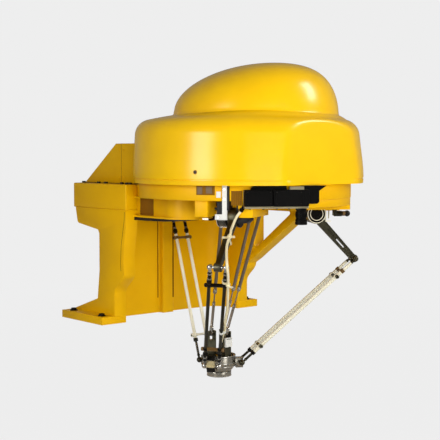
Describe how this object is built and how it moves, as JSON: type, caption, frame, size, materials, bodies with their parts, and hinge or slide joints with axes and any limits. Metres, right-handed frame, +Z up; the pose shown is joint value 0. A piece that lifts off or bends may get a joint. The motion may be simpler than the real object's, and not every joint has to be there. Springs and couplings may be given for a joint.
{
  "type": "delta robot with bolt-down stand",
  "caption": "Small delta robot under a domed hood, hung from a cantilever stand, with parallel rod arms, telescopic wrist drive shafts and a turning tool flange.",
  "frame": {"origin": "middle of the bolting plane under the stand, between the two feet", "axes": "+Z up, -Y towards the robot (front), +X to the right seen from the front"},
  "size_m": [0.364, 0.4701, 0.5029],
  "materials": {
    "yellow_paint": "satin paint on cast aluminium",
    "hood_paint": "gloss paint on a moulded hood",
    "zinc_plate": "yellow zinc plated sheet",
    "black_anodised": "black anodised",
    "stop_rubber": "moulded rubber",
    "white_plastic": "bent white sheet",
    "hose_plastic": "extruded air hose",
    "rod_steel": "ground steel",
    "arm_alloy": "hard anodised alloy",
    "dark_steel": "blackened steel",
    "shaft_steel": "ground steel tube",
    "wrist_steel": "turned steel"
  },
  "bodies": {
    "root": {"left_foot": "yellow_paint", "right_foot": "yellow_paint", "left_wall": "yellow_paint", "right_wall": "yellow_paint", "back_wall": "yellow_paint", "head_frame": "yellow_paint", "rear_cover": "yellow_paint", "base_casting": "yellow_paint", "arm_carrier": "yellow_paint", "side_housing": "yellow_paint", "hood": "hood_paint", "right_gearbox": "dark_steel", "left_gearbox": "dark_steel", "rear_gearbox": "dark_steel", "camera_bracket": "zinc_plate", "camera_controller": "black_anodised", "camera_body": "black_anodised", "camera_lens": "black_anodised", "valve_bracket": "white_plastic", "left_stop": "stop_rubber", "right_stop": "stop_rubber", "shaft_hangers": "wrist_steel", "hose_top": "hose_plastic"},
    "right_upper": {"right_upper_arm": "arm_alloy"},
    "left_upper": {"left_upper_arm": "arm_alloy", "hose_middle": "hose_plastic", "upper_hose_tie": "hose_plastic"},
    "rear_upper": {"rear_upper_arm": "arm_alloy"},
    "right_lower": {"right_rods": "rod_steel", "right_rod_ties": "dark_steel"},
    "left_lower": {"left_rods": "rod_steel", "left_rod_ties": "dark_steel", "hose_bottom": "hose_plastic", "lower_hose_ties": "dark_steel"},
    "rear_lower": {"rear_rods": "rod_steel", "rear_rod_ties": "dark_steel"},
    "platform": {"platform": "wrist_steel", "wrist_forks": "wrist_steel", "wrist_housing": "wrist_steel"},
    "tool": {"tool_flange": "wrist_steel"},
    "left_shaft": {"left_shaft_tube": "shaft_steel"},
    "right_shaft": {"right_shaft_tube": "shaft_steel"},
    "front_shaft": {"front_shaft_tube": "shaft_steel"},
    "left_spline": {"left_shaft_rod": "shaft_steel"},
    "right_spline": {"right_shaft_rod": "shaft_steel"},
    "front_spline": {"front_shaft_rod": "shaft_steel"}
  },
  "joints": [
    {"name": "left_shoulder", "type": "hinge", "parent": "root", "child": "left_upper", "pos_m": [-0.08314, -0.286, 0.1825], "axis": [0.5, -0.866, 0], "range_deg": [-2, 20]},
    {"name": "left_elbow", "type": "hinge", "parent": "left_upper", "child": "left_lower", "pos_m": [-0.1465, -0.32258, 0.11433], "axis": [0.5, -0.866, 0], "range_deg": [-28.17, 2.83]},
    {"name": "platform_level", "type": "hinge", "parent": "left_lower", "child": "platform", "pos_m": [-0.03918, -0.18, -0.065], "axis": [0.5, -0.866, 0], "range_deg": [-0.83, 8.17]},
    {"name": "right_shoulder", "type": "hinge", "parent": "root", "child": "right_upper", "pos_m": [0.08314, -0.286, 0.1825], "axis": [0.5, 0.866, 0], "range_deg": [-1.94, 19.34]},
    {"name": "right_elbow", "type": "hinge", "parent": "right_upper", "child": "right_lower", "pos_m": [0.14196, -0.31996, 0.1091], "axis": [0.5, 0.866, 0], "range_deg": [-28, 2.81]},
    {"name": "rear_shoulder", "type": "hinge", "parent": "root", "child": "rear_upper", "pos_m": [0, -0.142, 0.1825], "axis": [-1, 0, 0], "range_deg": [-2.39, 23.83]},
    {"name": "rear_elbow", "type": "hinge", "parent": "rear_upper", "child": "rear_lower", "pos_m": [0, -0.04239, 0.17365], "axis": [-1, 0, 0], "range_deg": [-26.39, 2.65]},
    {"name": "left_shaft_swing", "type": "hinge", "parent": "root", "child": "left_shaft", "pos_m": [-0.03291, -0.201, 0.198], "axis": [-0.9654, 0.2609, 0], "range_deg": [-0.21, 2.01]},
    {"name": "left_spline_swing", "type": "hinge", "parent": "platform", "child": "left_spline", "pos_m": [-0.02099, -0.1569, -0.017], "axis": [-0.9654, 0.2609, 0], "range_deg": [-0.21, 2.01]},
    {"name": "right_shaft_swing", "type": "hinge", "parent": "root", "child": "right_shaft", "pos_m": [0.03291, -0.201, 0.198], "axis": [-0.8449, -0.5349, 0], "range_deg": [-0.24, 2.31]},
    {"name": "right_spline_swing", "type": "hinge", "parent": "platform", "child": "right_spline", "pos_m": [0.00499, -0.1569, -0.017], "axis": [-0.8449, -0.5349, 0], "range_deg": [-0.24, 2.31]},
    {"name": "front_shaft_swing", "type": "hinge", "parent": "root", "child": "front_shaft", "pos_m": [0, -0.258, 0.198], "axis": [-0.9949, -0.1013, 0], "range_deg": [-0.34, 3.26]},
    {"name": "front_spline_swing", "type": "hinge", "parent": "platform", "child": "front_spline", "pos_m": [-0.008, -0.1794, -0.017], "axis": [-0.9949, -0.1013, 0], "range_deg": [-0.34, 3.26]},
    {"name": "tool_turn", "type": "hinge", "parent": "platform", "child": "tool", "pos_m": [-0.008, -0.162, -0.085], "axis": [0, 0, -1], "range_deg": [-360, 360]}
  ],
  "couplings": [
    {"joint": "left_elbow", "follows": "left_shoulder", "ratio": -1.4078},
    {"joint": "platform_level", "follows": "left_shoulder", "ratio": 0.4078},
    {"joint": "right_shoulder", "follows": "left_shoulder", "ratio": 0.9665},
    {"joint": "right_elbow", "follows": "left_shoulder", "ratio": -1.3993},
    {"joint": "rear_shoulder", "follows": "left_shoulder", "ratio": 1.1909},
    {"joint": "rear_elbow", "follows": "left_shoulder", "ratio": -1.3188},
    {"joint": "left_shaft_swing", "follows": "left_shoulder", "ratio": 0.0998},
    {"joint": "left_spline_swing", "follows": "left_shoulder", "ratio": 0.0998},
    {"joint": "right_shaft_swing", "follows": "left_shoulder", "ratio": 0.1151},
    {"joint": "right_spline_swing", "follows": "left_shoulder", "ratio": 0.1151},
    {"joint": "front_shaft_swing", "follows": "left_shoulder", "ratio": 0.1627},
    {"joint": "front_spline_swing", "follows": "left_shoulder", "ratio": 0.1627}
  ]
}
